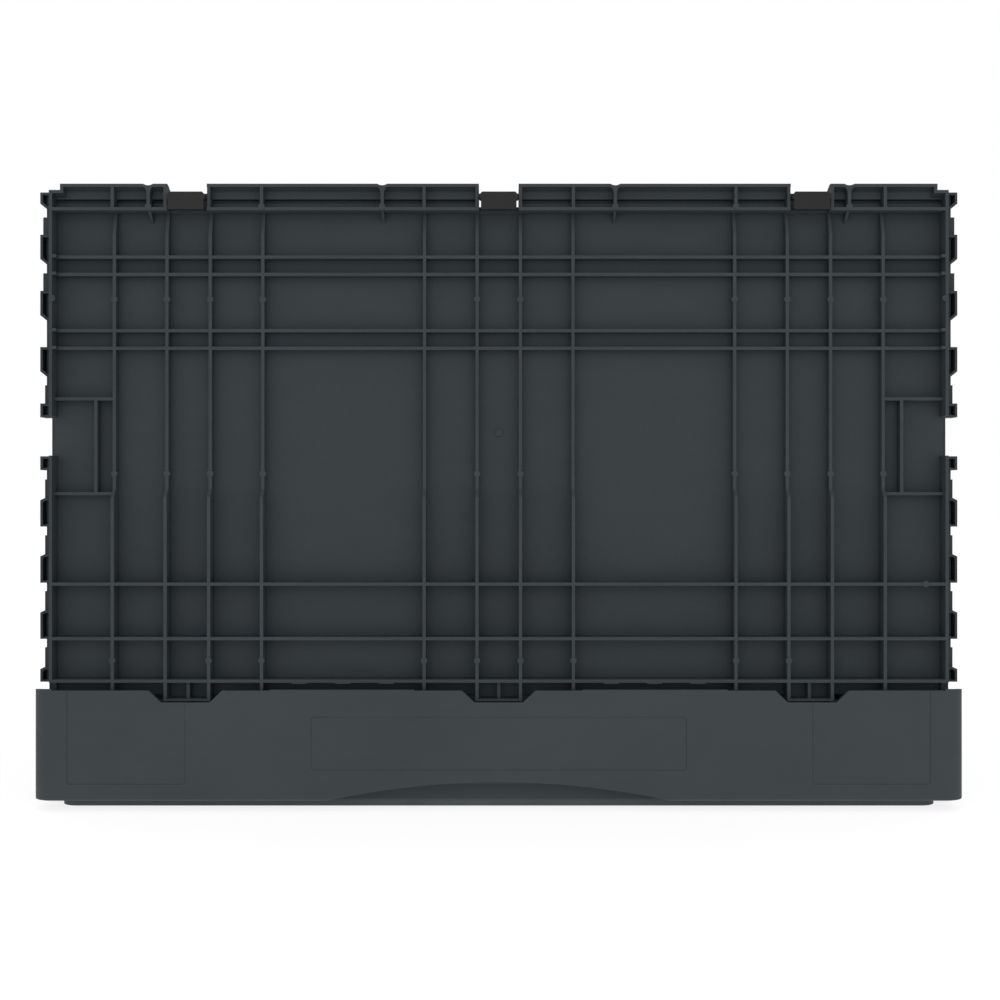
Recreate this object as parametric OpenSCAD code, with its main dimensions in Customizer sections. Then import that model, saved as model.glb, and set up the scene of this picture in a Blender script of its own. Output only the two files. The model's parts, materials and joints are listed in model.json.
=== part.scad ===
// Collapsible storage crate.
// A base tray, four walls that fold flat into it on hinge pins, and six small lid catches.
// Frame: origin at the middle of the footprint on the ground, X along the length, Z up, front at -Y.

/* [Overall] */
// Outside length of the base tray
length = 600; // [500:1:800]
// Outside width of the base tray
width = 400; // [340:1:600]
// Height of the long walls above the ground
height = 402.4; // [360:0.1:500]
// How much lower the short walls are than the long walls
short_drop = 2.4; // [0:0.1:6]

/* [Base tray] */
// Height of the tray rim above the ground
rim_z = 77; // [66:0.1:90]
// How far the rim stands up between the hinges
rim_raise = 0.5; // [0.1:0.1:3]
// Distance of a raised stretch of the rim from the ribs beside it
raise_gap = 6; // [2:0.5:12]
// How far the rim stands up at the corners
end_raise = 1.2; // [0.6:0.1:4]
// How far the rim falls round a corner
corner_fall = 1.8; // [0.2:0.1:4]
// Length of the slope from a corner to the lower rim on the short sides
fall_run = 2; // [1:0.1:6]
// How much lower the rim is on the short sides
side_drop = 4.5; // [1:0.1:8]
// Thickness of the tray side
tray_wall = 3; // [2:0.1:3.2]
// Outside radius of the tray corners
corner_r = 14; // [8:0.5:20]
// Height of the foot ring below the tray side
foot_h = 6.7; // [3:0.1:10]
// How far the foot ring stands in from the short sides
foot_in_x = 14; // [8:0.5:30]
// How far the foot ring stands in from the long sides
foot_in_y = 16.5; // [8:0.5:30]
// Outside radius of the foot ring corners
foot_r = 11; // [6:0.5:20]
// Thickness of the foot ring
foot_wall = 2.6; // [1.5:0.1:5]
// Height of the inside floor
floor_top = 19.4; // [12:0.1:20]
// Thickness of the floor
floor_t = 2.6; // [1.5:0.1:5]
// Thickness of the ribs under the floor
under_t = 2; // [1:0.1:4]
// How far the ribs under the floor stay off the ground
under_gap = 3; // [1:0.1:8]
// Spacing along the length of the ribs under the floor
under_x = 71; // [40:1:120]
// Spacing across the width of the ribs under the floor
under_y = 92; // [40:1:120]
// Half of the width of the hand scoop at the lower edge
scoop_half = 110; // [60:1:120]
// Height of the hand scoop above the lower edge
scoop_h = 11.9; // [5:0.1:16]
// Distance of the first web outside the foot ring from the hand scoop
web_first = 25; // [10:1:40]
// Spacing of the webs between foot ring and tray side
web_pitch = 57.5; // [40:0.5:80]
// Gap between a hinge cheek and the floor of its notch in the rim
notch_gap = 0.6; // [0.3:0.1:2]
// How much the hinge notch widens on each side up to the rim
notch_flare = 8; // [2:0.1:12]
// Depth of the hinge notch below the rim
notch_d = 7.6; // [4:0.1:8]

/* [Blank fields] */
// Half length of the label field
label_half = 120.3; // [60:0.1:130]
// Half height of the label field
label_tall = 17.25; // [8:0.05:20]
// Height of the middle of the label field
label_z = 43.25; // [36:0.05:50]
// Corner radius of the label field
label_r = 2.5; // [1.8:0.1:6]
// Inner end of the side fields, from the middle
side_in = 200.3; // [140:0.1:220]
// Distance of the side fields from the tray end
side_end = 23.6; // [16:0.1:40]
// Lower end of the side fields
side_low = 17; // [10:0.1:40]
// Depth of the blank fields
field_d = 0.2; // [0.1:0.05:0.6]
// Width of the line round a blank field
line_w = 0.6; // [0.3:0.1:2]
// Depth of the line round a blank field
line_d = 0.35; // [0.2:0.05:1]

/* [Long walls] */
// Gap from the tray side to the rib fronts of a long wall
long_inset = 5; // [4:0.1:6]
// Thickness of a long wall over its ribs
long_t = 14.6; // [13:0.1:16]
// Thickness of the long wall skin
skin_t = 2.2; // [1.5:0.1:3]
// Thickness of a rib
rib_t = 2; // [1.2:0.1:3]
// Thickness of the rib at each end of a long wall
end_t = 2; // [1.5:0.1:4]
// Depth of that rib below the lowest rib
root_d = 3; // [1:0.1:8]
// How far the ribs of the upper field stand back
setback = 5; // [1:0.1:7]
// Height at which the ribs stand back
ramp_z = 206; // [180:0.5:220]
// Height of the slope where the ribs stand back
ramp_h = 5; // [1:0.5:20]
// How far the upright ribs fall back below the top strip
taper_d = 4.7; // [1:0.1:5]
// Height over which the upright ribs fall back below the top strip
taper_h = 15; // [6:0.5:24]
// Distance between the hinge columns
pitch = 200.6; // [180:0.1:215]
// Ribs of a hinge column, from its middle
col_in = 14; // [13:0.1:18]
// Outer ribs beside a hinge column, from its middle
col_out = 48; // [36:0.1:56]
// Ribs of the upper field, below the top edge
upper_drop = [46.3, 57.5, 93.9, 105.3]; // [30:0.1:150]
// Ribs of the lower field, above the rim
lower_rise = [67.9, 32.8, 5.5]; // [4:0.1:100]
// Rib under the top strip, below the top edge
strip_drop = 16.1; // [12:0.1:17]
// Stacking ledge underside, below the top edge
ledge_drop = 8.6; // [7:0.1:9.5]
// Height of the dark groove under the stacking ledge
groove_h = 2.6; // [1:0.1:3]
// Depth of that groove
groove_d = 4.4; // [2.2:0.1:5]
// How far the band below that groove stands behind the panel
band_back = 2; // [0:0.1:2.1]
// How far the top strip panel stands behind the rib fronts
strip_d = 7; // [4:0.1:8]
// Depth of the top flange
flange_d = 10.4; // [9:0.1:12]
// Depth of the level front part of the top flange
flange_flat = 3.4; // [2:0.1:5]
// How far the top flange falls towards its back edge
flange_fall = 3; // [1:0.1:4]
// How much lower the top edge is at the wall ends
end_drop = 4; // [1:0.1:4.5]
// Length of the lower top edge at each wall end
top_step = 7.2; // [4:0.1:20]
// Flared ribs beside the outer columns, from the column
flare_out = 24.9; // [18:0.1:34]
// Flared ribs beside the middle column, from the middle
flare_mid = 75; // [60:0.5:100]
// Half width of a flared rib at its top
flare_w = 2.8; // [1.5:0.1:6]
// Height of the gusset below a flared rib
gusset_h = 7.4; // [3:0.1:14]
// Heights below the flange at which a flared rib is half and fully narrowed
flare_h = [1.8, 4.6]; // [1:0.1:6]
// How much thinner a gusset is than its rib, on each side
gusset_thin = 0.2; // [0.1:0.1:0.4]
// Length of the short ribs inside the rib at each wall end
stub_l = 2.5; // [1:0.1:6]
// Radius of the dip in the top edge over a flared rib
dip_r = 5.6; // [3:0.1:10]
// Depth of the dip in the top edge over a flared rib
dip_d = 1; // [0.2:0.1:1.6]
// Radius of the small round pads on the ribs
pad_r = 2; // [1.2:0.1:3]
// Thickness of the pads
pad_t = 2; // [1:0.1:4]
// How far the pads stand out of the rib fronts
pad_out = 0.3; // [0.1:0.05:0.5]
// Pads of the upper field, below the top edge
pad_drop = 73.6; // [60:0.1:90]
// Pads of the lower field, above the rim
pad_rise = 18.7; // [10:0.1:28]
// Single pad on the top rib of the lower field, from the wall end
pad_end = 14.8; // [8:0.1:30]
// Radius of the moulding gate mark in the middle of a long wall
gate_r = 2.2; // [1:0.1:4]
// How far the gate mark stands out of the skin
gate_out = 1.5; // [0.4:0.1:3]
// Height of the gate mark
gate_z = 242.8; // [220:0.1:260]
// Half width of a tab under the lowest rib
tab_half = 4.8; // [2:0.1:8]
// How far a tab reaches below the lowest rib
tab_d = 0.7; // [0.2:0.1:1]
// Spacing of the tabs under the lowest rib
tab_pitch = 28; // [20:0.5:32]

/* [Finger windows] */
// Height of the middle of the finger windows at the corners
window_mid = 240.35; // [220:0.05:260]
// Height of the finger windows
window_h = 25.5; // [18:0.1:32]
// Reach of a finger window past the corner comb, along the short wall
window_reach = 10; // [2:0.5:14]
// Distance of the short rib above a finger window
pocket_up = 11.3; // [4:0.1:20]
// Distance of the short rib below a finger window
pocket_down = 24.5; // [4:0.1:30]
// Distance of the upright rib at a finger window from the wall end
pocket_in = 28.8; // [20:0.1:40]

/* [Lid catches] */
// Half width of the catch opening in the top edge
slot_half = 12.8; // [11:0.1:12.9]
// Floor of the catch opening, below the top edge
slot_drop = 18; // [17.2:0.1:24]
// Skin behind the catch opening, below the top edge
slot_back_drop = 12.5; // [11:0.1:16]
// Gap at each side of a catch in its opening
catch_gap = 1.4; // [0.6:0.1:4]
// Gap at each side of the shoulders of a catch
shoulder_gap = 0.5; // [0.2:0.1:0.5]
// Gap below a catch in its opening
catch_rise = 0.9; // [0.3:0.1:2]
// Height of a catch
catch_h = 11.2; // [9:0.1:12]
// How far the face of a catch stands out of the rib fronts
catch_out = 4; // [1:0.1:4]
// Wall of a catch
catch_t = 2.4; // [1.5:0.1:3]
// Length of the lower lip and height of the upper corner slopes of a catch
catch_lip = 1.7; // [1:0.1:3]
// Height of the lower lip of a catch, and of its upper slope
catch_lip_h = [1.6, 1]; // [0.6:0.1:2]
// How far a trunnion reaches past the middle of the column rib
trunnion_l = 0.9; // [0.4:0.1:0.9]
// Pivot of a catch, below its upper end
pivot_drop = 1.9; // [1:0.1:3]
// Pivot of a catch, behind the rib fronts
pivot_d = 3; // [2.8:0.1:4]
// Radius of the catch trunnion
trunnion_r = 2; // [1:0.1:2.2]
// Radius of the boss round the catch trunnion
boss_r = 2.6; // [2.2:0.1:3]
// Half length of the lip behind a catch
lip_half = 11.4; // [6:0.1:12]
// Height of the lip behind a catch
lip_h = 5.5; // [2:0.1:7]
// Depth of the rib below a catch
shelf_d = 2.4; // [1:0.1:2.5]

/* [Short walls] */
// Inside face of a short wall, from the tray end
short_inset = 10.5; // [10:0.1:12]
// Thickness of the short wall skin
short_skin = 2.4; // [1.5:0.1:3]
// Rib fronts of a short wall above the rim, from the tray end
short_rib_in = 2.7; // [1:0.1:4]
// Rib fronts of a short wall behind the rim, from the tray end
short_low_in = 4.2; // [3.4:0.1:5]
// Lower and upper end of the step in the short wall ribs, above the rim
short_step = [2, 4]; // [1.5:0.1:8]
// Upright rib at each end of a short wall, from the tray end
short_edge_in = 4.6; // [3.4:0.1:6]
// Hinge columns of a short wall, from the middle
short_col = 110; // [70:1:115]
// Half length of the hand hole
hand_half = 58; // [40:1:60]
// Radius of the hand hole ends
hand_r = 17; // [12:0.5:20]
// Middle of the hand hole, below the top of the wall
hand_drop = 49.5; // [36:0.5:60]
// Wall of the collar round the hand hole
collar_t = 2.6; // [1.5:0.1:4]
// How far the collar stands out of the ribs
collar_out = 1.2; // [0:0.1:2]

/* [Corner combs] */
// Outer face of the corner brackets, from the tray end
comb_in = 0.3; // [0:0.1:1]
// Depth of the comb along the short wall
comb_d = 12; // [6:0.1:16]
// Wall of a bracket
comb_t = 1.6; // [1:0.1:2.5]
// Length of the lower slope of a bracket, and of its upper slope
comb_run = [3.9, 3]; // [2:0.1:5]
// Floor of a bracket above the skin
comb_floor = 0.6; // [0.2:0.1:2]
// How much thicker a bracket is at its lower slope
comb_thick = 0.5; // [0:0.1:0.6]
// How far the slats and the rib stand back from the mouths of the brackets
comb_back = 5; // [1:0.1:6]
// How far that rib stands out further above the rim than below it
comb_rib_out = 1.6; // [0.2:0.1:2]
// Spacing of the brackets
comb_pitch = 36.7; // [30:0.1:60]
// First upper bracket, below the top of the wall
comb_drop = 27.6; // [20:0.1:36]
// Height of the outer face of an upper bracket
comb_up_h = 15.9; // [10:0.1:20]
// Slope at the lower outer corner of an upper bracket
comb_slope = 3.2; // [1:0.1:5]
// First lower bracket, above the rim
comb_rise = 31.2; // [24:0.1:40]
// Height of the outer face of a lower bracket
comb_low_h = 17.3; // [10:0.1:20]
// Slope at the upper outer corner of a lower bracket
comb_roof = 1.4; // [0.5:0.1:3]
// Height of the bracket at the top of the wall
comb_top_h = 7.3; // [5:0.1:12]
// Height of the brackets at the finger window
comb_window_h = 9; // [6:0.1:10]
// Lower end of the bracket at the rim, above the rim
comb_rim_gap = 3.2; // [1:0.1:6]
// Height of the bracket at the rim
comb_rim_h = 8.3; // [6:0.1:12]
// Height of the flat slats above the upper brackets
slat_up_h = 12.3; // [6:0.1:14]
// Height of the flat slats above the lower brackets
slat_low_h = 13.6; // [6:0.1:14]
// Outer face of the upper slats, from the tray end
slat_up_in = 0.6; // [0.3:0.1:5]
// Outer face of the lower slats, from the tray end
slat_low_in = 1.8; // [0.3:0.1:5]

/* [Hinges] */
// Pivot of the long walls, from the tray side
long_axis_in = 15; // [14:0.1:18]
// Pivot of the front wall, below the rim
front_drop = 11.4; // [10:0.1:14]
// Pivot of the rear wall, below the rim
rear_drop = 30.7; // [28:0.1:34]
// Radius of the long wall pins
long_pin_r = 2.5; // [1.5:0.1:3]
// Radius of the long wall knuckle
long_knuckle_r = 4.6; // [4:0.1:5]
// Pivot of the short walls, from the tray end
short_axis_in = 6.8; // [6.7:0.1:8]
// Pivot of the left wall, above the floor
left_rise = 4.4; // [4:0.1:6]
// Pivot of the right wall, above the floor
right_rise = 15.2; // [14:0.1:18]
// Radius of the short wall pins
short_pin_r = 2; // [1.2:0.1:2.4]
// Radius of the short wall knuckle
short_knuckle_r = 3.6; // [3:0.1:3.7]
// Front and lower end of the slope of a long wall cheek, from the pivot
cheek_slope = [3, 3.3]; // [2:0.1:3.4]
// How far the front of a long wall cheek ends below the knuckle top
cheek_end = 0.6; // [0.2:0.1:2]
// How far the middle cheek of a long wall stands behind the others
cheek_back = 4; // [2:0.1:6]
// Reach of the long wall skin below its end, in the hinges
long_foot = 4; // [2:0.1:4]
// Rise of the bar between the cheeks above the notch floor
bar_rise = 0.3; // [0.2:0.1:1]
// Corners of a short wall cheek above the pivot, inside and outside
short_cheek_up = [2.4, 1]; // [0.6:0.1:3]
// Height and length of the slope in front of a short wall cheek
short_cheek_slope = [4, 2]; // [1:0.1:4]
// Reach of the short wall skin below its end, in the hinges
short_foot = 2.8; // [1:0.1:2.8]
// How far the long wall skin ends above its pivot, outside the hinges
long_clear = 6.9; // [6:0.1:10]
// How far the short wall skin ends above its pivot, outside the hinges
short_clear = 6; // [5:0.1:10]
// Thickness of the bar between the long wall cheeks
bar_t = 1.3; // [0.8:0.1:3]
// Thickness of the bearing ears on the tray
ear_t = 3; // [2:0.1:5]
// Lower and upper end of the root of a long wall ear, from the pivot
ear_root = [14, 2]; // [1:0.1:15]
// Turn of the ear faces where they leave the round end
ear_turn = 18; // [10:1:25]
// Turn of the root of a short wall ear
short_ear_turn = 40; // [30:1:60]
// Gap between a knuckle and its ears
ear_gap = 0.6; // [0.2:0.1:2]

/* [Fits] */
// Gap between the end of each wall and the inside of its neighbour at the corners
corner_gap = 0.15; // [0.1:0.05:1]
// Radial clearance of a turning pin
run_gap = 0.06; // [0.01:0.01:0.1]
// Radial clearance of a pin held in the tray
hold_gap = 0.02; // [0.01:0.01:0.1]
// How much smaller than a knuckle the round end of its ear is
ear_small = 0.2; // [0.1:0.1:0.6]

/* [Hidden] */
$fn = 48;
// Sink of one shape into another, and reach of a cut past a face
e = 0.05;
past = 1;
// Facets of the long arc of the hand scoop
scoop_fn = 200;
hl = length / 2;
hw = width / 2;
// Planes of a long wall: rib fronts, set-back rib fronts, skin front, inside face, strip panel, pivot
yf = -(hw - long_inset);
yu = yf + setback;
yi = yf + long_t;
ys = yi - skin_t;
yp = yf + strip_d;
ay = -(hw - long_axis_in);
long_half = hl - short_inset - corner_gap;
top_half = long_half - top_step;
front_axis_z = rim_z - front_drop;
rear_axis_z = rim_z - rear_drop;
upper_z = [for (d = upper_drop) height - d];
lower_z = [for (d = lower_rise) rim_z + d];
base_rib_z = lower_z[len(lower_z) - 1];
strip_z = height - strip_drop;
ledge_z = height - ledge_drop;
end_z = height - end_drop;
window_low = window_mid - window_h / 2;
window_top = window_mid + window_h / 2;
pocket_z = [window_low - pocket_down, window_top + pocket_up];
pocket_x = long_half - pocket_in;
// Catch: opening floor, lower and upper end, half width, face and pivot
slot_z = height - slot_drop;
slot_back_z = height - slot_back_drop;
catch_low = slot_z + catch_rise;
catch_top = catch_low + catch_h;
catch_half = slot_half - catch_gap;
shoulder_half = slot_half - shoulder_gap;
catch_y = yf - catch_out;
pivot_y = yf + pivot_d;
pivot_z = catch_top - pivot_drop;
// Planes of a short wall: inside face, skin front, rib fronts, rib fronts behind the rim, brackets, pivot
short_height = height - short_drop;
short_half = -yi - corner_gap;
xi = hl - short_inset;
xs = xi + short_skin;
xf = hl - short_rib_in;
xl = hl - short_low_in;
xe = hl - short_edge_in;
xb = hl - comb_in;
ax = hl - short_axis_in;
left_axis_z = floor_top + left_rise;
right_axis_z = floor_top + right_rise;
hand_z = short_height - hand_drop;
comb_y = short_half - comb_d;
// Hinge columns and ribs
cols = [-pitch, 0, pitch];
short_cols = [-short_col, short_col];
col_ribs = [for (c = cols) for (s = [-1, 1]) c + s * col_in];
side_ribs = [for (c = cols) for (s = [-1, 1]) c + s * col_out];
flare_x = [-pitch - flare_out, -flare_mid, flare_mid, pitch + flare_out];
ear_in = col_in + rib_t / 2 + ear_gap;
ear_out = ear_in + ear_t;
notch_low = col_in + rib_t / 2 + notch_gap;
notch_high = notch_low + notch_flare;
scoop_r = (scoop_half * scoop_half + scoop_h * scoop_h) / (2 * scoop_h);
under = floor_top - floor_t;
fx = hl - foot_in_x;
fy = hw - foot_in_y;
// Numbers of ribs under the floor, each way from the middle
under_nx = floor((fx - foot_r) / under_x);
under_ny = floor((fy - foot_r) / under_y);
// Upper brackets of a corner comb down to the finger window, and lower ones up to it
up_room = short_height - comb_drop - comb_up_h - comb_slope - window_top - comb_window_h;
low_room = window_low - comb_window_h - rim_z - comb_rise - comb_low_h - comb_roof;
up_tops = [for (i = [0 : floor(up_room / comb_pitch)]) short_height - comb_drop - i * comb_pitch];
low_feet = [for (i = [0 : floor(low_room / comb_pitch)]) rim_z + comb_rise + i * comb_pitch];
// Brackets: low, high, drop of the lower slope, rise of the upper slope
brackets = concat(
    [[short_height - comb_top_h, short_height, comb_slope, 0]],
    [for (z = up_tops) [z - comb_up_h, z, comb_slope, 0]],
    [[window_top, window_top + comb_window_h, 0, 0], [window_low - comb_window_h, window_low, 0, 0]],
    [for (z = low_feet) [z, z + comb_low_h, 0, comb_roof]],
    [[rim_z + comb_rim_gap, rim_z + comb_rim_gap + comb_rim_h, 0, comb_roof]]
);
// Flat slats above the brackets: low, high, outer face
slats = concat(
    [for (z = up_tops) if (z != up_tops[len(up_tops) - 1]) [z, z + slat_up_h, hl - slat_up_in]],
    [[window_top + comb_window_h, window_top + comb_window_h + slat_up_h, hl - slat_low_in]],
    [for (z = low_feet) [z + comb_low_h, z + comb_low_h + slat_low_h, hl - slat_low_in]],
    [[rim_z + comb_rim_gap + comb_rim_h, rim_z + comb_rim_gap + comb_rim_h + slat_low_h, hl - slat_low_in]]
);
// Pads on the ribs of a long wall: which ribs, and at which height
outer_ribs = [for (c = [-pitch, pitch]) for (o = [-col_out, -col_in, col_in, col_out]) c + o];
pads_back = [
    for (x = concat(outer_ribs, [-col_in, col_in])) for (z = [height - pad_drop, ramp_z + 5 * pad_r]) [x, z]
];
pads_low = [
    for (x = [
        -pitch - col_out, -pitch + col_in, -pitch + col_out, -col_out, -col_in,
        col_in, col_out, pitch - col_out, pitch - col_in
    ]) [x, rim_z + pad_rise]
];
pads_strip = [
    for (x = concat(flare_x, [-pitch + col_out, pitch - col_out])) [x, strip_z + 0.75 * rib_t]
];
pads_end = [for (s = [-1, 1]) [s * (long_half - pad_r), height - pad_drop]];
pad_single = [[long_half - pad_end, lower_z[0]]];
// Tabs under the lowest rib, midway between the middle and the outer columns
tab_x = [for (s = [-1, 1]) for (i = [-1, 0, 1]) s * pitch / 2 + i * tab_pitch];

// How far the top flange has fallen at a depth behind the rib fronts
function flange_drop(depth) = flange_fall * max(0, depth - flange_flat) / (flange_d - flange_flat);

// Box between two corners
module slab(x0, x1, y0, y1, z0, z1) {
    translate([x0, y0, z0]) cube([x1 - x0, y1 - y0, z1 - z0]);
}

// Side profile drawn in Y and Z, drawn out along X
module along_x(x0, x1) {
    translate([x0, 0, 0]) rotate([90, 0, 90]) linear_extrude(x1 - x0) children();
}

// Front profile drawn in X and Z, drawn out along Y
module along_y(y0, y1) {
    translate([0, y1, 0]) rotate([90, 0, 0]) linear_extrude(y1 - y0) children();
}

// Round rod along X
module rod_x(x0, x1, y, z, r) {
    translate([x0, y, z]) rotate([0, 90, 0]) cylinder(h = x1 - x0, r = r);
}

// Round rod along Y
module rod_y(y0, y1, x, z, r) {
    translate([x, y1, z]) rotate([90, 0, 0]) cylinder(h = y1 - y0, r = r);
}

// The same shape at both ends of the length
module both_x() {
    for (m = [0, 1]) {
        mirror([m, 0, 0]) children();
    }
}

// The same shape at both ends of the width
module both_y() {
    for (m = [0, 1]) {
        mirror([0, m, 0]) children();
    }
}

// Rectangle with rounded corners, as an outline
module round_rect(hx, hy, r) {
    square([2 * hx, 2 * (hy - r)], center = true);
    square([2 * (hx - r), 2 * hy], center = true);
    for (x = [-1, 1]) {
        for (y = [-1, 1]) {
            translate([x * (hx - r), y * (hy - r)]) circle(r);
        }
    }
}

// Slot outline with round ends
module stadium(half, r) {
    square([2 * (half - r), 2 * r], center = true);
    translate([half - r, 0]) circle(r);
    translate([r - half, 0]) circle(r);
}

// Upright rib of a long wall, set back in the upper field
module upright(x, low) {
    along_x(x - rib_t / 2, x + rib_t / 2)
        polygon([
            [ys + e, low], [yf, low], [yf, ramp_z - ramp_h], [yu, ramp_z],
            [yu, strip_z - taper_h], [yu + taper_d, strip_z], [ys + e, strip_z]
        ]);
}

// Flat rib of a long wall
module level_rib(front, z) {
    slab(e - long_half, long_half - e, front, ys + e, z - rib_t / 2, z + rib_t / 2);
}

// Cheek of a long wall hinge with its round end on the pivot
module long_cheek(x, az, front) {
    along_x(x - rib_t / 2, x + rib_t / 2) {
        translate([ay, az]) circle(long_knuckle_r);
        polygon([
            [yi, base_rib_z], [front, base_rib_z], [front, az + long_knuckle_r - cheek_end],
            [ay - cheek_slope[0], az - cheek_slope[1]], [ay + past, az], [yi, az]
        ]);
    }
}

// Top flange of a long wall, level in front and falling to its back edge
module flange(x0, x1, top) {
    along_x(x0, x1)
        polygon([
            [yf, top - rib_t], [yf, top], [yf + flange_flat, top], [yf + flange_d, top - flange_fall],
            [yf + flange_d, top - flange_fall - rib_t], [yf + flange_flat, top - rib_t]
        ]);
}

// Short upright rib in the top strip, from the strip rib to the flange
module strip_rib(x, depth) {
    along_x(x - rib_t / 2, x + rib_t / 2)
        polygon([
            [yf, strip_z], [yf, height - e], [yf + flange_flat, height - e],
            [yf + depth, height - e - flange_drop(depth)], [yf + depth, strip_z]
        ]);
}

// Flared rib in the top strip with the gusset below it
module flare(x) {
    neck = height - rib_t;
    along_y(yf, yp + e)
        polygon([
            [x - flare_w, neck], [x - flare_w / 2, neck - flare_h[0]], [x - rib_t / 2, neck - flare_h[1]],
            [x + rib_t / 2, neck - flare_h[1]], [x + flare_w / 2, neck - flare_h[0]], [x + flare_w, neck],
            [x + flare_w, height - rib_t / 2], [x - flare_w, height - rib_t / 2]
        ]);
    along_x(x - rib_t / 2 + gusset_thin, x + rib_t / 2 - gusset_thin)
        polygon([[yf + rib_t, strip_z], [ys + e, strip_z], [ys + e, strip_z - gusset_h]]);
}

// Top strip of a long wall with its panel, stacking ledge, groove and flange
module top_strip() {
    panel_drop = flange_drop(strip_d + skin_t / 2) + rib_t / 2;
    slab(-top_half, top_half, yp, yp + skin_t, ledge_z, height - panel_drop);
    slab(-long_half, long_half, yp, yp + skin_t, ledge_z, end_z - panel_drop);
    slab(-long_half, long_half, yp, yi, ledge_z, ledge_z + skin_t);
    slab(-long_half, long_half, yp + band_back, ys + e, strip_z, ledge_z - groove_h);
    slab(-long_half, long_half, yp + groove_d, ys + e, strip_z, ledge_z + e);
    flange(-top_half, top_half, height);
    both_x() {
        flange(top_half - rib_t, long_half, end_z);
        slab(top_half - rib_t, top_half, yf, yf + flange_flat, end_z - rib_t, height - e);
    }
    for (x = concat(side_ribs, flare_x)) {
        strip_rib(x, strip_d + e);
    }
    for (x = col_ribs) {
        strip_rib(x, flange_d);
    }
    for (x = concat(side_ribs, flare_x, col_ribs)) {
        slab(x - rib_t / 2, x + rib_t / 2, yf, ys + e, strip_z, ledge_z + e);
    }
    for (x = flare_x) {
        flare(x);
    }
}

// Ribs and short pieces at both ends of a long wall, with the pocket of the finger window
module long_ends(low) {
    both_x() {
        slab(long_half - end_t, long_half, yf, ys + e, base_rib_z, end_z);
        slab(long_half - end_t, long_half, ys - root_d, ys + e, low, base_rib_z);
        slab(pocket_x - rib_t / 2, pocket_x + rib_t / 2, yu, ys + e, pocket_z[0], pocket_z[1]);
        for (z = pocket_z) {
            slab(pitch + col_out, long_half - e, yu, ys + e, z - rib_t / 2, z + rib_t / 2);
        }
        for (z = upper_z) {
            slab(long_half - end_t - stub_l, long_half - e, yf, ys + e, z - rib_t / 2, z + rib_t / 2);
        }
    }
}

// Small round pads and tabs on the ribs of a long wall
module long_pads() {
    for (p = pads_back) {
        rod_y(yu - pad_out, yu + pad_t, p[0], p[1], pad_r);
    }
    for (p = concat(pads_low, pads_strip, pads_end, pad_single)) {
        rod_y(yf - pad_out, yf + pad_t, p[0], p[1], pad_r);
    }
    for (x = tab_x) {
        slab(x - tab_half, x + tab_half, yf, yf + setback, base_rib_z - rib_t / 2 - tab_d, base_rib_z);
    }
}

// Hinge foot of a long wall: skin, three cheeks and the bar between them
module long_hinge(c, az) {
    half = col_in + rib_t / 2;
    low = az + long_clear;
    bar_z = rim_z - notch_d + bar_rise;
    slab(c - half, c + half, ys, yi, low - long_foot, low + past);
    for (o = [-col_in, col_in]) {
        long_cheek(c + o, az, yf);
    }
    long_cheek(c, az, yf + cheek_back);
    slab(c - col_in, c + col_in, yf + e, ys + e, bar_z, bar_z + bar_t);
}

// Long wall, drawn as the front one
module long_wall(az) {
    low = az + long_clear;
    difference() {
        union() {
            slab(-long_half, long_half, ys, yi, low, ledge_z + skin_t);
            for (c = cols) {
                long_hinge(c, az);
            }
            long_ends(low);
            for (x = side_ribs) {
                upright(x, low);
            }
            for (x = col_ribs) {
                upright(x, base_rib_z);
            }
            for (z = upper_z) {
                level_rib(yu, z);
            }
            for (z = concat(lower_z, [strip_z])) {
                level_rib(yf, z);
            }
            top_strip();
            long_pads();
            rod_y(ys - gate_out, ys + e, 0, gate_z, gate_r);
        }
        for (c = cols) {
            slab(c - slot_half, c + slot_half, yf - past, ys, slot_z, height + past);
            slab(c - slot_half, c + slot_half, ys - e, yi + past, slot_back_z, height + past);
            rod_x(c - col_in - rib_t, c + col_in + rib_t, ay, az, long_pin_r + run_gap);
            rod_x(c - col_in - rib_t, c + col_in + rib_t, pivot_y, pivot_z, trunnion_r + run_gap);
        }
        both_x() slab(long_half - end_t - e, long_half + past, yf - past, ys, window_low, window_top);
        for (x = flare_x) {
            rod_y(yf - past, yf + flange_d + past, x, height + dip_r - dip_d, dip_r);
        }
    }
    for (c = cols) {
        translate([0, 0, strip_z]) slab(c - col_in, c + col_in, ys - shelf_d, ys + e, -rib_t / 2, rib_t / 2);
        slab(c - lip_half, c + lip_half, ys, yi, slot_back_z - e, slot_back_z + lip_h);
    }
}

// Lid catch with its two trunnions, drawn for the front wall
module lid_catch(c) {
    back = pivot_y + boss_r;
    inner = catch_y + catch_t;
    lip_z = catch_low + catch_lip_h[0];
    reach = col_in + trunnion_l;
    neck = pivot_z - boss_r;
    intersection() {
        along_x(c - shoulder_half, c + shoulder_half) {
            translate([pivot_y, pivot_z]) circle(boss_r);
            polygon([
                [catch_y, catch_low], [inner + catch_lip, catch_low],
                [inner + catch_lip, lip_z], [inner, lip_z + catch_lip_h[1]],
                [inner, neck], [pivot_y, neck],
                [back, pivot_z], [back, catch_top], [catch_y, catch_top]
            ]);
        }
        along_y(catch_y - past, back + past)
            polygon([
                [c - catch_half, catch_low - past], [c + catch_half, catch_low - past],
                [c + catch_half, neck], [c + shoulder_half, neck],
                [c + shoulder_half, catch_top - catch_lip], [c + shoulder_half - catch_lip, catch_top],
                [c - shoulder_half + catch_lip, catch_top], [c - shoulder_half, catch_top - catch_lip],
                [c - shoulder_half, neck], [c - catch_half, neck]
            ]);
    }
    rod_x(c - reach, c + reach, pivot_y, pivot_z, trunnion_r);
}

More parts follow.
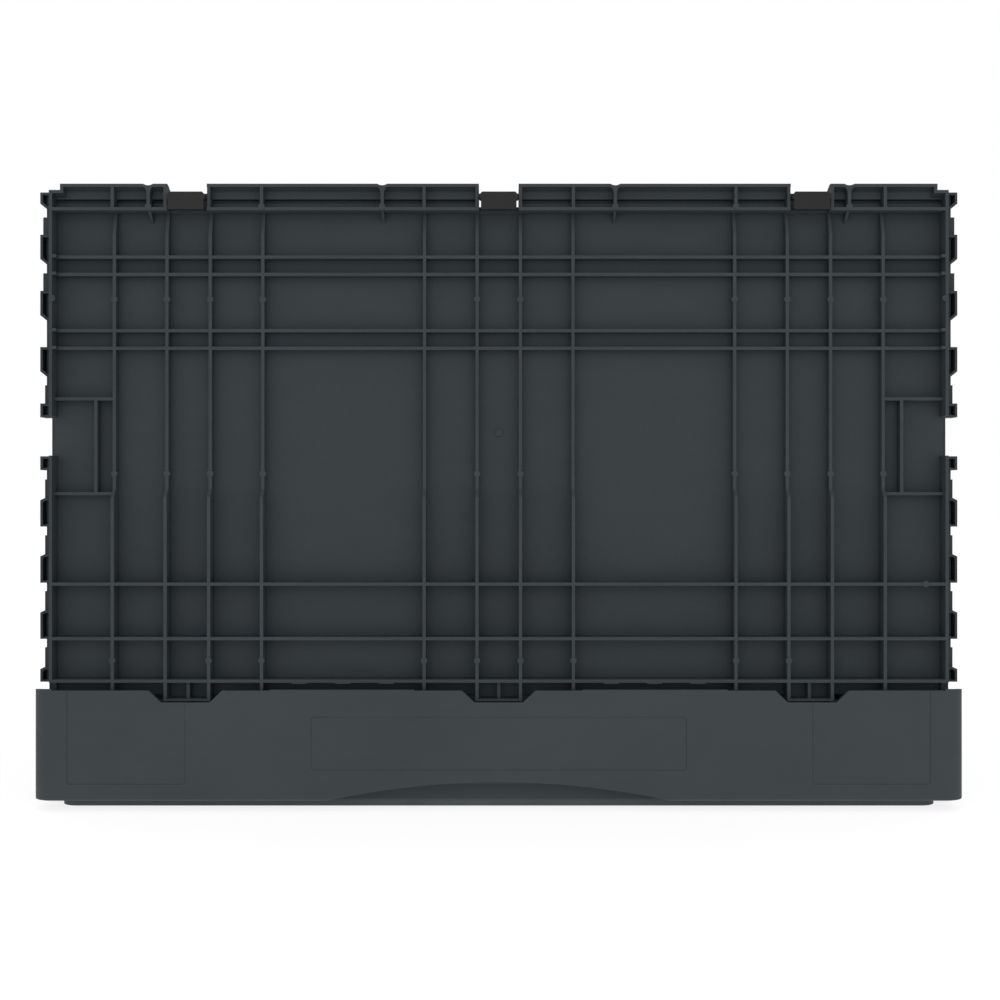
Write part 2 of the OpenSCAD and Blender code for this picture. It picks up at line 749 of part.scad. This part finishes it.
// Edge bracket of a short wall, a hollow box open towards the corner
module bracket(b) {
    low = b[0] - b[2];
    high = b[1] + b[3];
    hollow = xs + comb_floor;
    slope_x = xb - comb_run[0];
    roof_x = xb - comb_run[1];
    difference() {
        along_y(comb_y, short_half)
            polygon([
                [xs - e, low], [slope_x, low], [xb, b[0]], [xb, b[1]], [roof_x, high], [xs - e, high]
            ]);
        along_y(comb_y + comb_t, short_half + past)
            polygon([
                [hollow, low + comb_t], [slope_x - comb_thick, low + comb_t],
                [xb - comb_t, b[0] + comb_t - comb_thick], [xb - comb_t, b[1] - comb_t],
                [roof_x, high - comb_t], [hollow, high - comb_t]
            ]);
    }
}

// Comb of brackets and slats at one end of a short wall, with the rib behind it
module corner_comb(low) {
    back = short_half - comb_back;
    along_y(back - end_t, back)
        polygon([
            [xs - e, low], [xe, low], [xe, rim_z + short_step[0]], [xe + comb_rib_out, rim_z + short_step[1]],
            [xe + comb_rib_out, short_height - e], [xs - e, short_height - e]
        ]);
    for (b = brackets) {
        bracket(b);
    }
    for (s = slats) {
        slab(xs - e, s[2], comb_y, back, s[0] - e, s[1]);
    }
}

// Cheek of a short wall hinge with its round end on the pivot
module short_cheek(y, az) {
    along_y(y - rib_t / 2, y + rib_t / 2) {
        translate([ax, az]) circle(short_knuckle_r);
        polygon([
            [xi, base_rib_z], [xi, az + short_cheek_up[0]], [ax, az], [xl, az + short_cheek_up[1]],
            [xl, base_rib_z - short_cheek_slope[0]], [xf - short_cheek_slope[1], base_rib_z]
        ]);
    }
}

// Upright rib of a short wall, thinner where it stands behind the rim
module short_upright(y, low) {
    along_y(y - rib_t / 2, y + rib_t / 2)
        polygon([
            [xs - e, low], [xl, low], [xl, rim_z + short_step[0]], [xf, rim_z + short_step[1]],
            [xf, short_height - e], [xs - e, short_height - e]
        ]);
}

// Flat ribs of a short wall; those at the hand hole stop at its collar
module short_level_ribs() {
    top_rib = short_height - rib_t / 2 - e;
    for (z = concat(lower_z, [upper_z[2], upper_z[3], strip_z, top_rib])) {
        slab(xs - e, xf, -comb_y - e, comb_y + e, z - rib_t / 2, z + rib_t / 2);
    }
    both_y() {
        for (z = [upper_z[0], upper_z[1]]) {
            slab(xs - e, xf, hand_half, comb_y + e, z - rib_t / 2, z + rib_t / 2);
        }
    }
}

// Short wall, drawn as the right one
module short_wall(az) {
    low = az + short_clear;
    half = col_in + rib_t / 2;
    difference() {
        union() {
            slab(xi, xs, -short_half, short_half, low, short_height);
            for (c = short_cols) {
                slab(xi, xs, c - half, c + half, low - short_foot, low + past);
                for (o = [-col_in, 0, col_in]) {
                    short_cheek(c + o, az);
                }
                for (o = [-col_in, col_in]) {
                    short_upright(c + o, base_rib_z - rib_t / 2);
                }
                for (o = [-col_out, col_out]) {
                    short_upright(c + o, low);
                }
            }
            short_level_ribs();
            translate([xi, 0, hand_z]) rotate([90, 0, 90])
                linear_extrude(xf + collar_out - xi) stadium(hand_half + collar_t, hand_r + collar_t);
            both_y() corner_comb(low);
        }
        translate([xi - past, 0, hand_z]) rotate([90, 0, 90])
            linear_extrude(xf + collar_out - xi + 2 * past) stadium(hand_half, hand_r);
        for (c = short_cols) {
            rod_y(c - col_in - rib_t, c + col_in + rib_t, ax, az, short_pin_r + run_gap);
        }
        both_y() slab(xs, hl + past, comb_y - window_reach, short_half + past, window_low, window_top);
    }
}

// Bearing ear of a long wall on the tray, drawn for the front
module long_ear(x0, x1, az) {
    ear_r = long_knuckle_r - ear_small;
    side = -hw + tray_wall / 2;
    out = ear_r * sin(ear_turn);
    up = ear_r * cos(ear_turn);
    along_x(x0, x1) {
        translate([ay, az]) circle(ear_r);
        polygon([
            [side, az - ear_root[0]], [side, az + ear_root[1]],
            [ay - out, az + up], [ay, az], [ay - out, az - up]
        ]);
    }
}

// Bearing ear of a short wall on the tray, drawn for the right
module short_ear(y0, y1, az) {
    ear_r = short_knuckle_r - ear_small;
    side = hl - tray_wall / 2;
    root = floor_top - past;
    along_y(y0, y1) {
        translate([ax, az]) circle(ear_r);
        polygon([
            [side, root], [side, az + ear_r * cos(short_ear_turn)],
            [ax + ear_r * sin(ear_turn), az + ear_r * cos(ear_turn)],
            [ax, az], [ax - ear_r, az], [ax - ear_r, root]
        ]);
    }
}

// Ears of one long side
module long_ears(az) {
    for (c = cols) {
        long_ear(c - ear_out, c - ear_in, az);
        long_ear(c + ear_in, c + ear_out, az);
    }
}

// Ears of one short side
module short_ears(az) {
    for (c = short_cols) {
        short_ear(c - ear_out, c - ear_in, az);
        short_ear(c + ear_in, c + ear_out, az);
    }
}

// Shallow blank field with a line round it, cut into the front of the tray
module blank_field(x, z, half, tall) {
    face = -hw - past;
    translate([x, 0, z]) {
        along_y(face, -hw + field_d) round_rect(half, tall, label_r);
        along_y(face, -hw + line_d) difference() {
            round_rect(half, tall, label_r);
            round_rect(half - line_w, tall - line_w, label_r - line_w);
        }
    }
}

// Blank label field and side fields of one long side; the side fields run out at the rim
module blank_fields() {
    side_out = hl - side_end;
    side_tall = (rim_z - side_low) / 2 + end_raise + label_r;
    blank_field(0, label_z, label_half, label_tall);
    both_x() blank_field((side_in + side_out) / 2, side_low + side_tall, (side_out - side_in) / 2, side_tall);
}

// Cuts in one long side of the tray: hinge notches, pin bores, rim steps, hand scoop and blank fields
module long_side_cuts(az) {
    back = -hw + tray_wall + 4 * e;
    top = rim_z + end_raise + past;
    raise_in = col_out + raise_gap;
    raise_out = pitch - col_out - raise_gap;
    for (c = cols) {
        along_y(-hw - past, back)
            polygon([
                [c - notch_low, rim_z - notch_d], [c + notch_low, rim_z - notch_d],
                [c + notch_high, rim_z + e], [c + notch_high, top],
                [c - notch_high, top], [c - notch_high, rim_z + e]
            ]);
        rod_x(c - ear_out - past, c + ear_out + past, ay, az, long_pin_r + hold_gap);
    }
    slab(corner_r - hl, hl - corner_r, -hw - past, back, rim_z + rim_raise, top);
    slab(-raise_in, raise_in, -hw - past, back, rim_z, top);
    both_x() slab(raise_out, hl - corner_r, -hw - past, back, rim_z, top);
    rod_y(-hw - past, back, 0, foot_h + scoop_h - scoop_r, scoop_r, $fn = scoop_fn);
    blank_fields();
}

// Cuts in one short side of the tray: the lower rim with its fall round the corners, and the pin bores
module short_side_cuts(az) {
    top = rim_z + end_raise;
    turn = hw - corner_r;
    run = turn - fall_run;
    low = rim_z - side_drop;
    along_x(hl - corner_r, hl + past)
        polygon([
            [-hw, top], [-turn, top - corner_fall], [-run, low], [run, low],
            [turn, top - corner_fall], [hw, top], [hw, top + past], [-hw, top + past]
        ]);
    for (c = short_cols) {
        rod_y(c - ear_out - past, c + ear_out + past, ax, az, short_pin_r + hold_gap);
    }
}

// Foot ring with the ribs under the floor and the webs out to the tray side
module foot() {
    linear_extrude(under + e) difference() {
        round_rect(fx, fy, foot_r);
        round_rect(fx - foot_wall, fy - foot_wall, foot_r - foot_wall);
    }
    for (i = [-under_nx : under_nx]) {
        slab(i * under_x - under_t / 2, i * under_x + under_t / 2, e - fy, fy - e, under_gap, under + e);
    }
    for (i = [-under_ny : under_ny]) {
        slab(e - fx, fx - e, i * under_y - under_t / 2, i * under_y + under_t / 2, under_gap, under + e);
    }
    both_x() both_y() {
        for (x = [scoop_half + web_first : web_pitch : fx - foot_r]) {
            slab(x - under_t / 2, x + under_t / 2, fy - e, hw - past, foot_h, under + e);
        }
        for (y = [0 : web_pitch : fy - foot_r]) {
            slab(fx - e, hl - past, y - under_t / 2, y + under_t / 2, foot_h, under + e);
        }
    }
}

// Base tray with floor, foot ring, ribs under the floor and hinge ears
module base_tray() {
    color("dimgray") difference() {
        union() {
            translate([0, 0, foot_h]) linear_extrude(rim_z + end_raise - foot_h) difference() {
                round_rect(hl, hw, corner_r);
                round_rect(hl - tray_wall, hw - tray_wall, corner_r - tray_wall);
            }
            translate([0, 0, under]) linear_extrude(floor_t)
                round_rect(hl - past, hw - past, corner_r - past);
            foot();
            long_ears(front_axis_z);
            rotate([0, 0, 180]) long_ears(rear_axis_z);
            short_ears(right_axis_z);
            rotate([0, 0, 180]) short_ears(left_axis_z);
        }
        long_side_cuts(front_axis_z);
        rotate([0, 0, 180]) long_side_cuts(rear_axis_z);
        short_side_cuts(right_axis_z);
        rotate([0, 0, 180]) short_side_cuts(left_axis_z);
    }
}

module front_wall() {
    color("slategray") long_wall(front_axis_z);
}

module rear_wall() {
    color("slategray") rotate([0, 0, 180]) long_wall(rear_axis_z);
}

module right_wall() {
    color("gray") short_wall(right_axis_z);
}

module left_wall() {
    color("gray") rotate([0, 0, 180]) short_wall(left_axis_z);
}

// Hinge pin of a long wall, drawn for the front
module long_pin(c, az) {
    color("silver") rod_x(c - ear_out, c + ear_out, ay, az, long_pin_r);
}

// Hinge pin of a short wall, drawn for the right
module short_pin(c, az) {
    color("silver") rod_y(c - ear_out, c + ear_out, ax, az, short_pin_r);
}

module front_catch_left() { color("black") lid_catch(-pitch); }
module front_catch_middle() { color("black") lid_catch(0); }
module front_catch_right() { color("black") lid_catch(pitch); }
module rear_catch_left() { color("black") rotate([0, 0, 180]) lid_catch(pitch); }
module rear_catch_middle() { color("black") rotate([0, 0, 180]) lid_catch(0); }
module rear_catch_right() { color("black") rotate([0, 0, 180]) lid_catch(-pitch); }
module front_pin_left() { long_pin(-pitch, front_axis_z); }
module front_pin_middle() { long_pin(0, front_axis_z); }
module front_pin_right() { long_pin(pitch, front_axis_z); }
module rear_pin_left() { rotate([0, 0, 180]) long_pin(pitch, rear_axis_z); }
module rear_pin_middle() { rotate([0, 0, 180]) long_pin(0, rear_axis_z); }
module rear_pin_right() { rotate([0, 0, 180]) long_pin(-pitch, rear_axis_z); }
module left_pin_front() { rotate([0, 0, 180]) short_pin(short_col, left_axis_z); }
module left_pin_rear() { rotate([0, 0, 180]) short_pin(-short_col, left_axis_z); }
module right_pin_front() { short_pin(-short_col, right_axis_z); }
module right_pin_rear() { short_pin(short_col, right_axis_z); }

base_tray();
front_wall();
rear_wall();
left_wall();
right_wall();
front_catch_left();
front_catch_middle();
front_catch_right();
rear_catch_left();
rear_catch_middle();
rear_catch_right();
front_pin_left();
front_pin_middle();
front_pin_right();
rear_pin_left();
rear_pin_middle();
rear_pin_right();
left_pin_front();
left_pin_rear();
right_pin_front();
right_pin_rear();
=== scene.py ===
import json
import math
import bpy
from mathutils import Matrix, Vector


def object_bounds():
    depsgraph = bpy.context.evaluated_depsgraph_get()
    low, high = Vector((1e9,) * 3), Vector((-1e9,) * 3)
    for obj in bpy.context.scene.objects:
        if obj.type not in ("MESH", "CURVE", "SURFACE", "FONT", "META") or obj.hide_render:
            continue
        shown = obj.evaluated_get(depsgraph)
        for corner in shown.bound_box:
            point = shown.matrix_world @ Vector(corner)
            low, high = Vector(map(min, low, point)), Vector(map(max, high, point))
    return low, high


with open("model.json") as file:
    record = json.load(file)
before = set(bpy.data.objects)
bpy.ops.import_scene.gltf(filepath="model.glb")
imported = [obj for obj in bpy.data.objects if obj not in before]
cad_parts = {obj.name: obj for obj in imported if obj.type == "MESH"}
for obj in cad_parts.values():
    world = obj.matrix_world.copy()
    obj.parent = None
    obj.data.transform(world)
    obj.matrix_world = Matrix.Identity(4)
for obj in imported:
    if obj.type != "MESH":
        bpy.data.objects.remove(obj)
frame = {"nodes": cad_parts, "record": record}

cad_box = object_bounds()
scene = bpy.context.scene
nodes = frame["nodes"]

# Half sizes of the crate, in metres like all lengths below
HALF_LENGTH, HALF_WIDTH = cad_box[1][0], cad_box[1][1]

# Camera of the photograph: straight on the front, a little above half height
CAMERA_PLACE = (0.0008, -1.088, 0.1990)
CAMERA_TILT_DEG = 90
LENS_MM = 50
SENSOR_MM = 36

# White surroundings: light that falls on the object, and the white that is seen
SKY_LIGHT = 0.72
SKY_SEEN = 1
WHITE = (1, 1, 1, 1)

# Soft box in front and above, wide enough to leave no hard shadow
BOX_WIDTH, BOX_HEIGHT = 2.4, 1.6
BOX_PLACE = (0.0, -2.3, 0.7)
BOX_TILT_DEG = 80
BOX_WATTS = 8.6

# White floor: takes the shadow, and glows so that it is white where the camera sees it
FLOOR_REACH = 12
FLOOR_DROP = 0.0005
FLOOR_COLOUR = (0.3, 0.3, 0.3, 1)
FLOOR_ROUGHNESS = 0.9
FLOOR_SPECULAR = 0.1
FLOOR_GLOW = 0.7
FLOOR_GLOW_SEEN = 0.83

# Depths from the side and from the end of the tray between which a finish changes over: on the walls
# the painted shade of the recesses between the ribs, on the tray side the painted highlight along its
# lower edge
LONG_WALL_DEPTHS = (0.0165, 0.0115)
SHORT_WALL_DEPTHS = (0.0075, 0.0035)
TRAY_SIDE_DEPTHS = (0.0025, 0.0015)

# Heights above the ground between which the painted light on the foot, as if lit from below, and the
# painted highlight along the lower edge of the tray end
FOOT_HEIGHTS = (0.0038, 0.0050)
EDGE_HEIGHTS = (0.0072, 0.0077)

# Marks in the plastic, as features in a metre along each axis
CLOUDS = (9, 9, 9)
FLOW_LINES = (24, 24, 260)
# Patches of the painted light on the foot and of the painted highlight on the lower edge of the tray
UNDERLIGHT_PATCHES = (45, 45, 45)
EDGE_PATCHES = (60, 60, 60)
SHEEN = (35, 35, 90)
PEEL = (260, 260, 260)

# Parts of the noise range that are stretched to full contrast, from soft to hard
SOFT = (0.3, 0.7)
FIRM = (0.35, 0.65)
HARD = (0.38, 0.62)

# Shares and depths of those marks
FULL = (0, 1)
# Share of the clouded colour in the painted shade between the ribs
RECESS_SHADE_CLOUDS = 0.5
# Shares of that painted light and painted highlight
UNDERLIGHT_SHARES = (0.7, 1)
# Shares of the rubbed edges, partly wear and partly painted edge highlights
EDGE_SHARES = (0.1, 0.6)
EDGE_REACH = 0.0007
SHEEN_SPREAD = 0.06
PEEL_DEPTH, PEEL_STRENGTH = 0.0003, 0.10
PIT_DEPTH = 0.0002
PLASTIC_SPECULAR = 0.12

# Colour sockets of a mix node, which share their names with other sockets
MIX_A, MIX_B, MIX_RESULT = 6, 7, 2


def srgb(r, g, b):
    """Linear colour from 0 to 255 display values."""
    def lin(c):
        c /= 255
        return c / 12.92 if c <= 0.04045 else ((c + 0.055) / 1.055) ** 2.4
    return lin(r), lin(g), lin(b), 1.0


class Graph:
    """Short way to add and link the nodes of one material."""

    def __init__(self, tree):
        self.tree = tree

    def add(self, kind, **settings):
        node = self.tree.nodes.new(kind)
        for key, value in settings.items():
            setattr(node, key, value)
        return node

    def link(self, out, into):
        self.tree.links.new(out, into)

    def place(self):
        """Place on the object in its own coordinates."""
        return self.add("ShaderNodeTexCoord").outputs["Object"]

    def axes(self):
        """Place on the object, one socket for each axis."""
        split = self.add("ShaderNodeSeparateXYZ")
        self.link(self.place(), split.inputs["Vector"])
        return split.outputs

    def noise(self, per_metre, detail, rough):
        """Noise from 0 to 1 with so many features in a metre along each axis."""
        mapping = self.add("ShaderNodeMapping")
        mapping.inputs["Scale"].default_value = per_metre
        self.link(self.place(), mapping.inputs["Vector"])
        node = self.add("ShaderNodeTexNoise")
        for key, number in (("Scale", 1), ("Detail", detail), ("Roughness", rough)):
            node.inputs[key].default_value = number
        self.link(mapping.outputs["Vector"], node.inputs["Vector"])
        return node.outputs["Fac"]

    def remap(self, value, span, to=FULL):
        """Value taken from one span to another and held inside it."""
        node = self.add("ShaderNodeMapRange", clamp=True)
        for key, number in zip(("From Min", "From Max", "To Min", "To Max"), span + to):
            node.inputs[key].default_value = number
        self.link(value, node.inputs["Value"])
        return node.outputs["Result"]

    def math(self, operation, *values):
        """Result of a math node on one or two values."""
        node = self.add("ShaderNodeMath", operation=operation)
        for value, socket in zip(values, node.inputs):
            self.link(value, socket)
        return node.outputs["Value"]

    def mix(self, factor, a, b):
        """Colour between a and b; each is a colour or a socket."""
        node = self.add("ShaderNodeMix", data_type="RGBA", clamp_factor=True)
        self.link(factor, node.inputs[0])
        for socket, value in ((node.inputs[MIX_A], a), (node.inputs[MIX_B], b)):
            if isinstance(value, tuple):
                socket.default_value = value
            else:
                self.link(value, socket)
        return node.outputs[MIX_RESULT]

    def bump(self, height, distance, strength, normal=None):
        """Bump normal over an optional earlier one."""
        node = self.add("ShaderNodeBump")
        node.inputs["Distance"].default_value = distance
        node.inputs["Strength"].default_value = strength
        self.link(height, node.inputs["Height"])
        if normal is not None:
            self.link(normal, node.inputs["Normal"])
        return node.outputs["Normal"]


def outermost(g, side_depths, end_depths):
    """1 on faces near a side or an end of the crate and 0 on those further in."""
    axes = g.axes()
    near = []
    for axis, half, depths in (("Y", HALF_WIDTH, side_depths), ("X", HALF_LENGTH, end_depths)):
        span = tuple(half - depth for depth in depths)
        near.append(g.remap(g.math("ABSOLUTE", axes[axis]), span))
    return g.math("MAXIMUM", *near)


def below(g, heights):
    """1 below both heights and 0 above them."""
    return g.remap(g.axes()["Z"], heights, (1, 0))


def painted_underlight_mask(g):
    """Painted light: 1 on the foot, brightened as if lit from below, and along the lower edge of the
    tray side, a painted highlight, in patches, and 0 elsewhere.
    """
    edge = g.math("MULTIPLY", below(g, EDGE_HEIGHTS), outermost(g, TRAY_SIDE_DEPTHS, TRAY_SIDE_DEPTHS))
    underlit = g.math("MAXIMUM", below(g, FOOT_HEIGHTS), edge)
    patches = g.remap(g.noise(UNDERLIGHT_PATCHES, detail=3, rough=0.6), FIRM, UNDERLIGHT_SHARES)
    return g.math("MULTIPLY", underlit, patches)


def rubbed_and_highlit(g):
    """Up to 1 on sharp outer edges, in patches, and 0 on faces: edges lightened partly as wear and
    partly as painted edge highlights.
    """
    inside = g.add("ShaderNodeAmbientOcclusion", samples=1, inside=True, only_local=True)
    inside.inputs["Distance"].default_value = EDGE_REACH
    edges = g.remap(inside.outputs["AO"], (1, 0))
    patches = g.remap(g.noise(EDGE_PATCHES, detail=3, rough=0.6), HARD, EDGE_SHARES)
    return g.math("MULTIPLY", edges, patches)


def plastic(name, low, high, dust, wear_and_highlight, pits, streaked, pitted, pits_per_metre, roughness, grain,
            recess_shade=None, underlight_colour=None):
    """Moulded plastic with clouded colour, flow lines, pits and rubbed edges, which are partly wear and
    partly painted edge highlights.

    The duller colour between the ribs of a wall is painted shade in the recesses, and the lighter
    colour of the foot is painted light from below, with a painted highlight along the lower edge of the
    tray side.
    """
    mat = bpy.data.materials.new(name)
    mat.use_nodes = True
    g = Graph(mat.node_tree)
    shader = mat.node_tree.nodes["Principled BSDF"]
    shader.inputs["Specular IOR Level"].default_value = PLASTIC_SPECULAR

    cloud = g.remap(g.noise(CLOUDS, detail=4, rough=0.6), SOFT)
    flow = g.remap(g.noise(FLOW_LINES, detail=3, rough=0.6), FIRM)
    speck = g.remap(g.noise((pits_per_metre,) * 3, detail=2, rough=0.7), SOFT)
    colour = g.mix(cloud, low, high)
    colour = g.mix(g.remap(flow, FULL, (0, streaked)), colour, dust)
    # Painted shade: recessed faces between the ribs of a wall take a darker colour
    if recess_shade is not None:
        shaded_recess = g.mix(g.remap(cloud, FULL, (0, RECESS_SHADE_CLOUDS)), recess_shade, low)
        colour = g.mix(outermost(g, LONG_WALL_DEPTHS, SHORT_WALL_DEPTHS), shaded_recess, colour)
    # Painted light on the foot from below and a painted highlight along the lower edge of the tray side
    if underlight_colour is not None:
        colour = g.mix(painted_underlight_mask(g), colour, underlight_colour)
    colour = g.mix(g.remap(speck, FULL, (0, pitted)), colour, pits)
    # Lighter outer edges: partly wear, partly painted edge highlights
    colour = g.mix(rubbed_and_highlit(g), colour, wear_and_highlight)
    g.link(colour, shader.inputs["Base Color"])

    spread = (roughness - SHEEN_SPREAD, roughness + SHEEN_SPREAD)
    sheen = g.remap(g.noise(SHEEN, detail=3, rough=0.55), SOFT, spread)
    g.link(sheen, shader.inputs["Roughness"])
    peel = g.bump(g.noise(PEEL, detail=2, rough=0.5), PEEL_DEPTH, PEEL_STRENGTH)
    g.link(g.bump(speck, PIT_DEPTH, grain, peel), shader.inputs["Normal"])
    return mat


# Finish of each material slot of the record
finishes = {
    "tray_plastic": plastic(
        "tray_plastic",
        low=srgb(59, 65, 68), high=srgb(63, 69, 72), dust=srgb(66, 71, 74), wear_and_highlight=srgb(84, 89, 92),
        # The last colour below is painted light for the foot and the lower edge of the tray
        pits=srgb(43, 48, 51), underlight_colour=srgb(77, 84, 87),
        streaked=0.15, pitted=0.05, pits_per_metre=1500, roughness=0.60, grain=0.12),
    "wall_plastic": plastic(
        "wall_plastic",
        low=srgb(57, 62, 66), high=srgb(63, 70, 73), dust=srgb(67, 71, 74), wear_and_highlight=srgb(78, 84, 86),
        # The last colour below is painted shade for the recesses between the ribs
        pits=srgb(43, 48, 51), recess_shade=srgb(57, 63, 66),
        streaked=0.22, pitted=0.30, pits_per_metre=750, roughness=0.60, grain=0.18),
    "catch_plastic": plastic(
        "catch_plastic",
        low=srgb(36, 36, 36), high=srgb(43, 43, 43), dust=srgb(46, 46, 46), wear_and_highlight=srgb(62, 62, 62),
        pits=srgb(27, 27, 27),
        streaked=0.22, pitted=0.10, pits_per_metre=1500, roughness=0.50, grain=0.08),
    "pin_plastic": plastic(
        "pin_plastic",
        low=srgb(59, 64, 67), high=srgb(68, 72, 76), dust=srgb(72, 75, 77), wear_and_highlight=srgb(88, 92, 94),
        pits=srgb(46, 49, 51),
        streaked=0.22, pitted=0.10, pits_per_metre=1500, roughness=0.42, grain=0.06),
}
for part in frame["record"]["subparts"]:
    obj = nodes[part["node"]]
    obj.data.materials.clear()
    obj.data.materials.append(finishes[part["material_slot"]])


def added(name, data, place, tilt_deg=0):
    """New object in the scene, turned about X."""
    obj = bpy.data.objects.new(name, data)
    scene.collection.objects.link(obj)
    obj.location = place
    obj.rotation_euler = (math.radians(tilt_deg), 0, 0)
    return obj


def seen_or_lighting(g, lighting, seen):
    """One strength for rays that light the object, another for camera, glossy and transmission rays."""
    path = g.add("ShaderNodeLightPath").outputs
    direct = g.math("MAXIMUM", path["Is Camera Ray"], path["Is Glossy Ray"])
    direct = g.math("MAXIMUM", direct, path["Is Transmission Ray"])
    return g.remap(direct, FULL, (lighting, seen))


def make_camera():
    """Camera of the photograph."""
    camera = bpy.data.cameras.new("camera")
    camera.lens = LENS_MM
    camera.sensor_width = SENSOR_MM
    return added("camera", camera, CAMERA_PLACE, CAMERA_TILT_DEG)


def make_surroundings():
    """White world."""
    world = bpy.data.worlds.new("surroundings")
    world.use_nodes = True
    g = Graph(world.node_tree)
    background = world.node_tree.nodes["Background"]
    background.inputs["Color"].default_value = WHITE
    g.link(seen_or_lighting(g, SKY_LIGHT, SKY_SEEN), background.inputs["Strength"])
    return world


def make_soft_box():
    """Large lamp in front of the crate."""
    lamp = bpy.data.lights.new("soft_box", "AREA")
    lamp.shape = "RECTANGLE"
    lamp.size = BOX_WIDTH
    lamp.size_y = BOX_HEIGHT
    lamp.energy = BOX_WATTS
    return added("soft_box", lamp, BOX_PLACE, BOX_TILT_DEG)


def white_paper():
    """Matt floor finish."""
    mat = bpy.data.materials.new("white_paper")
    mat.use_nodes = True
    g = Graph(mat.node_tree)
    shader = mat.node_tree.nodes["Principled BSDF"]
    shader.inputs["Base Color"].default_value = FLOOR_COLOUR
    shader.inputs["Roughness"].default_value = FLOOR_ROUGHNESS
    shader.inputs["Specular IOR Level"].default_value = FLOOR_SPECULAR
    shader.inputs["Emission Color"].default_value = WHITE
    g.link(seen_or_lighting(g, FLOOR_GLOW, FLOOR_GLOW_SEEN), shader.inputs["Emission Strength"])
    return mat


def make_floor():
    """Flat square of paper just below the foot."""
    mesh = bpy.data.meshes.new("floor")
    corners = [(-1, -1), (1, -1), (1, 1), (-1, 1)]
    mesh.from_pydata([(x * FLOOR_REACH, y * FLOOR_REACH, 0) for x, y in corners], [], [(0, 1, 2, 3)])
    mesh.materials.append(white_paper())
    return added("floor", mesh, (0, 0, -FLOOR_DROP))


scene.camera = make_camera()
scene.world = make_surroundings()
make_soft_box()
floor = make_floor()

scene.view_settings.view_transform = "Standard"
